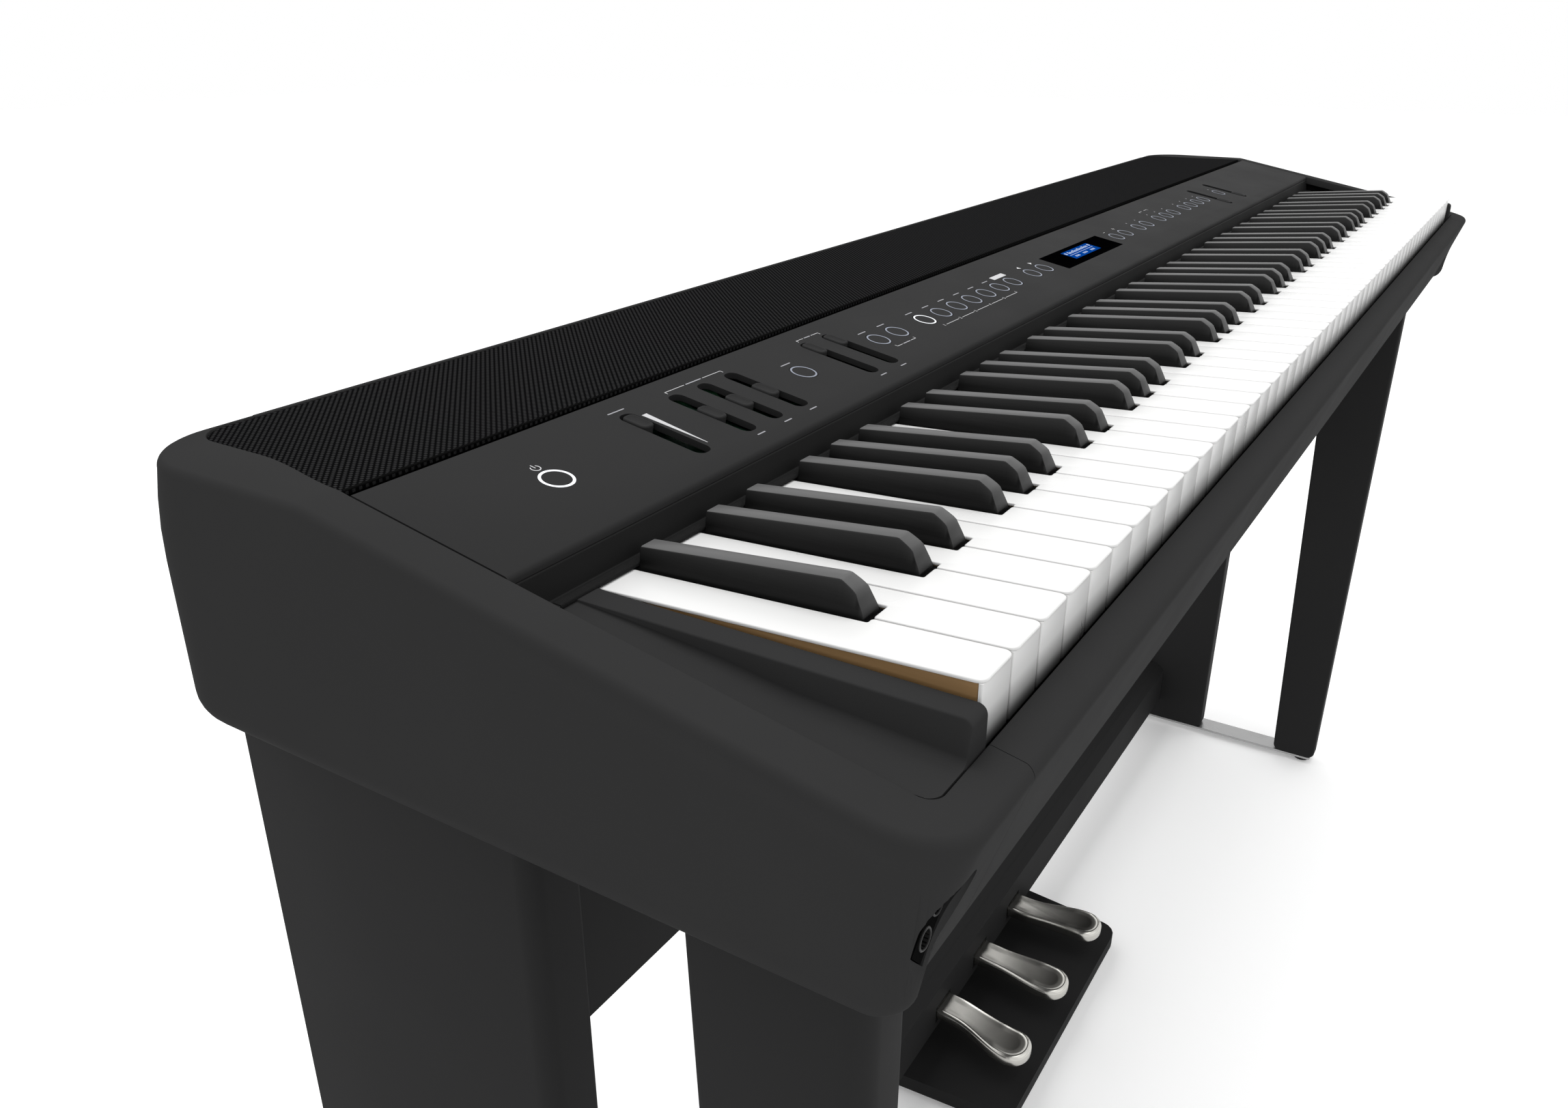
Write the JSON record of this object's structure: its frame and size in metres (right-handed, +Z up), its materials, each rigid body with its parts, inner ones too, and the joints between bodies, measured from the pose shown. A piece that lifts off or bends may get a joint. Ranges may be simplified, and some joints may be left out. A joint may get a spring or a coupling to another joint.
{
  "type": "digital piano on stand",
  "caption": "Stage-style digital piano with weighted keys, slider and button panel and speaker grille, on a slab-leg stand with a pedal unit.",
  "frame": {"origin": "centre of the overall bounding box's bottom face, on the floor under the feet", "axes": "+X along the keyboard towards the treble, +Y from the player towards the back, +Z up"},
  "size_m": [1.34, 0.3586, 0.7465],
  "materials": {
    "shell": "matte charcoal moulding with a very fine grain",
    "stand_board": "charcoal painted board, satin",
    "white_key": "satin white plastic key top",
    "black_key": "matte black key with a faint sheen",
    "grille": "black perforated grille",
    "window": "gloss black window over a blue display",
    "inner_metal": "black painted sheet steel",
    "circuit": "green circuit board",
    "pedal_metal": "bright cast metal with worn bevels",
    "bar_steel": "brushed flat bar",
    "foot_rubber": "moulded rubber"
  },
  "bodies": {
    "case_and_stand": {"back_board": "stand_board", "base_bar_left": "bar_steel", "base_bar_right": "bar_steel", "bottom_chassis": "inner_metal", "cheek_left": "shell", "cheek_right": "shell", "circuit_board": "circuit", "connector_plate": "shell", "control_panel": "shell", "display_window": "window", "end_cap_left": "shell", "end_cap_right": "shell", "fallboard": "shell", "foot_front_left": "foot_rubber", "foot_front_right": "foot_rubber", "foot_rear_left": "foot_rubber", "foot_rear_right": "foot_rubber", "front_leg_left": "stand_board", "front_leg_right": "stand_board", "front_rail": "shell", "headphone_jacks": "shell", "key_frame": "inner_metal", "pedal_beam": "stand_board", "pedal_board": "stand_board", "rear_leg_left": "stand_board", "rear_leg_right": "stand_board", "rear_panel": "shell", "speaker_grille": "grille", "speaker_left": "inner_metal", "speaker_right": "inner_metal"},
    "ambience_button": {"ambience_button": "shell"},
    "arrow_buttons": {"arrow_buttons": "shell"},
    "black_keys_c1_to_b2": {"black_keys_c1_to_b2": "black_key"},
    "black_keys_c3_to_b4": {"black_keys_c3_to_b4": "black_key"},
    "black_keys_c5_to_b6": {"black_keys_c5_to_b6": "black_key"},
    "black_keys_c7_to_c8": {"black_keys_c7_to_c8": "black_key"},
    "equaliser_slider_1": {"equaliser_slider_1": "shell"},
    "equaliser_slider_2": {"equaliser_slider_2": "shell"},
    "equaliser_slider_3": {"equaliser_slider_3": "shell"},
    "function_buttons": {"function_buttons": "shell"},
    "key_a0": {"key_a0": "white_key"},
    "key_asharp0": {"key_asharp0": "black_key"},
    "key_b0": {"key_b0": "white_key"},
    "part_slider_1": {"part_slider_1": "shell"},
    "part_slider_2": {"part_slider_2": "shell"},
    "pedal_left": {"pedal_left": "pedal_metal"},
    "pedal_middle": {"pedal_middle": "pedal_metal"},
    "pedal_right": {"pedal_right": "pedal_metal"},
    "power_button": {"power_button": "shell"},
    "record_button": {"record_button": "shell"},
    "split_buttons": {"split_buttons": "shell"},
    "tone_buttons": {"tone_buttons": "shell"},
    "value_buttons": {"value_buttons": "shell"},
    "volume_slider": {"volume_slider": "shell"},
    "wheel_slider_1": {"wheel_slider_1": "shell"},
    "wheel_slider_2": {"wheel_slider_2": "shell"},
    "white_keys_c1_to_b2": {"white_keys_c1_to_b2": "white_key"},
    "white_keys_c3_to_b4": {"white_keys_c3_to_b4": "white_key"},
    "white_keys_c5_to_b6": {"white_keys_c5_to_b6": "white_key"},
    "white_keys_c7_to_c8": {"white_keys_c7_to_c8": "white_key"}
  },
  "joints": [
    {"name": "white_keys_c1_to_b2_hinge", "type": "hinge", "parent": "case_and_stand", "child": "white_keys_c1_to_b2", "pos_m": [0, 0.06825, 0.708], "axis": [1, 0, 0], "range_deg": [0, 2.5], "stiffness_Nm_per_rad": 18.2, "springref_deg": -11.46},
    {"name": "white_keys_c3_to_b4_hinge", "type": "hinge", "parent": "case_and_stand", "child": "white_keys_c3_to_b4", "pos_m": [0, 0.06825, 0.708], "axis": [1, 0, 0], "range_deg": [0, 2.5], "stiffness_Nm_per_rad": 18.2, "springref_deg": -11.46},
    {"name": "white_keys_c5_to_b6_hinge", "type": "hinge", "parent": "case_and_stand", "child": "white_keys_c5_to_b6", "pos_m": [0, 0.06825, 0.708], "axis": [1, 0, 0], "range_deg": [0, 2.5], "stiffness_Nm_per_rad": 18.2, "springref_deg": -11.46},
    {"name": "white_keys_c7_to_c8_hinge", "type": "hinge", "parent": "case_and_stand", "child": "white_keys_c7_to_c8", "pos_m": [0, 0.06825, 0.708], "axis": [1, 0, 0], "range_deg": [0, 2.5], "stiffness_Nm_per_rad": 10.4, "springref_deg": -11.46},
    {"name": "key_a0_hinge", "type": "hinge", "parent": "case_and_stand", "child": "key_a0", "pos_m": [0, 0.06825, 0.708], "axis": [1, 0, 0], "range_deg": [0, 2.5], "stiffness_Nm_per_rad": 1.3, "springref_deg": -11.46},
    {"name": "key_b0_hinge", "type": "hinge", "parent": "case_and_stand", "child": "key_b0", "pos_m": [0, 0.06825, 0.708], "axis": [1, 0, 0], "range_deg": [0, 2.5], "stiffness_Nm_per_rad": 1.3, "springref_deg": -11.46},
    {"name": "black_keys_c1_to_b2_hinge", "type": "hinge", "parent": "case_and_stand", "child": "black_keys_c1_to_b2", "pos_m": [0, 0.06825, 0.708], "axis": [1, 0, 0], "range_deg": [0, 2.5], "stiffness_Nm_per_rad": 8, "springref_deg": -11.46},
    {"name": "black_keys_c3_to_b4_hinge", "type": "hinge", "parent": "case_and_stand", "child": "black_keys_c3_to_b4", "pos_m": [0, 0.06825, 0.708], "axis": [1, 0, 0], "range_deg": [0, 2.5], "stiffness_Nm_per_rad": 8, "springref_deg": -11.46},
    {"name": "black_keys_c5_to_b6_hinge", "type": "hinge", "parent": "case_and_stand", "child": "black_keys_c5_to_b6", "pos_m": [0, 0.06825, 0.708], "axis": [1, 0, 0], "range_deg": [0, 2.5], "stiffness_Nm_per_rad": 8, "springref_deg": -11.46},
    {"name": "black_keys_c7_to_c8_hinge", "type": "hinge", "parent": "case_and_stand", "child": "black_keys_c7_to_c8", "pos_m": [0, 0.06825, 0.708], "axis": [1, 0, 0], "range_deg": [0, 2.5], "stiffness_Nm_per_rad": 4, "springref_deg": -11.46},
    {"name": "key_asharp0_hinge", "type": "hinge", "parent": "case_and_stand", "child": "key_asharp0", "pos_m": [0, 0.06825, 0.708], "axis": [1, 0, 0], "range_deg": [0, 2.5], "stiffness_Nm_per_rad": 0.8, "springref_deg": -11.46},
    {"name": "pedal_left_hinge", "type": "hinge", "parent": "case_and_stand", "child": "pedal_left", "pos_m": [0, 0.08325, 0.052], "axis": [1, 0, 0], "range_deg": [0, 7], "stiffness_Nm_per_rad": 8, "springref_deg": -8.59},
    {"name": "pedal_middle_hinge", "type": "hinge", "parent": "case_and_stand", "child": "pedal_middle", "pos_m": [0, 0.08325, 0.052], "axis": [1, 0, 0], "range_deg": [0, 7], "stiffness_Nm_per_rad": 8, "springref_deg": -8.59},
    {"name": "pedal_right_hinge", "type": "hinge", "parent": "case_and_stand", "child": "pedal_right", "pos_m": [0, 0.08325, 0.052], "axis": [1, 0, 0], "range_deg": [0, 7], "stiffness_Nm_per_rad": 8, "springref_deg": -8.59},
    {"name": "volume_slider_slide", "type": "slide", "parent": "case_and_stand", "child": "volume_slider", "axis": [0, 0.9824, 0.1867], "range_m": [-0.0296, 0.0013]},
    {"name": "equaliser_slider_1_slide", "type": "slide", "parent": "case_and_stand", "child": "equaliser_slider_1", "axis": [0, 0.9824, 0.1867], "range_m": [-0.0154, 0.0154]},
    {"name": "equaliser_slider_2_slide", "type": "slide", "parent": "case_and_stand", "child": "equaliser_slider_2", "axis": [0, 0.9824, 0.1867], "range_m": [-0.0154, 0.0154]},
    {"name": "equaliser_slider_3_slide", "type": "slide", "parent": "case_and_stand", "child": "equaliser_slider_3", "axis": [0, 0.9824, 0.1867], "range_m": [-0.0154, 0.0154]},
    {"name": "part_slider_1_slide", "type": "slide", "parent": "case_and_stand", "child": "part_slider_1", "axis": [0, 0.9824, 0.1867], "range_m": [-0.0304, 0.0005]},
    {"name": "part_slider_2_slide", "type": "slide", "parent": "case_and_stand", "child": "part_slider_2", "axis": [0, 0.9824, 0.1867], "range_m": [-0.0304, 0.0005]},
    {"name": "wheel_slider_1_slide", "type": "slide", "parent": "case_and_stand", "child": "wheel_slider_1", "axis": [0, 0.9824, 0.1867], "range_m": [-0.0014, 0.0295]},
    {"name": "wheel_slider_2_slide", "type": "slide", "parent": "case_and_stand", "child": "wheel_slider_2", "axis": [0, 0.9824, 0.1867], "range_m": [-0.0014, 0.0295]},
    {"name": "power_button_slide", "type": "slide", "parent": "case_and_stand", "child": "power_button", "axis": [0, 0.1867, -0.9824], "range_m": [0, 0.0008], "stiffness_N_per_m": 400, "springref_m": -0.001},
    {"name": "ambience_button_slide", "type": "slide", "parent": "case_and_stand", "child": "ambience_button", "axis": [0, 0.1867, -0.9824], "range_m": [0, 0.0008], "stiffness_N_per_m": 400, "springref_m": -0.001},
    {"name": "split_buttons_slide", "type": "slide", "parent": "case_and_stand", "child": "split_buttons", "axis": [0, 0.1867, -0.9824], "range_m": [0, 0.0008], "stiffness_N_per_m": 400, "springref_m": -0.001},
    {"name": "tone_buttons_slide", "type": "slide", "parent": "case_and_stand", "child": "tone_buttons", "axis": [0, 0.1867, -0.9824], "range_m": [0, 0.0008], "stiffness_N_per_m": 400, "springref_m": -0.001},
    {"name": "arrow_buttons_slide", "type": "slide", "parent": "case_and_stand", "child": "arrow_buttons", "axis": [0, 0.1867, -0.9824], "range_m": [0, 0.0008], "stiffness_N_per_m": 400, "springref_m": -0.001},
    {"name": "value_buttons_slide", "type": "slide", "parent": "case_and_stand", "child": "value_buttons", "axis": [0, 0.1867, -0.9824], "range_m": [0, 0.0008], "stiffness_N_per_m": 400, "springref_m": -0.001},
    {"name": "function_buttons_slide", "type": "slide", "parent": "case_and_stand", "child": "function_buttons", "axis": [0, 0.1867, -0.9824], "range_m": [0, 0.0008], "stiffness_N_per_m": 400, "springref_m": -0.001},
    {"name": "record_button_slide", "type": "slide", "parent": "case_and_stand", "child": "record_button", "axis": [0, 0.1867, -0.9824], "range_m": [0, 0.0008], "stiffness_N_per_m": 400, "springref_m": -0.001}
  ]
}
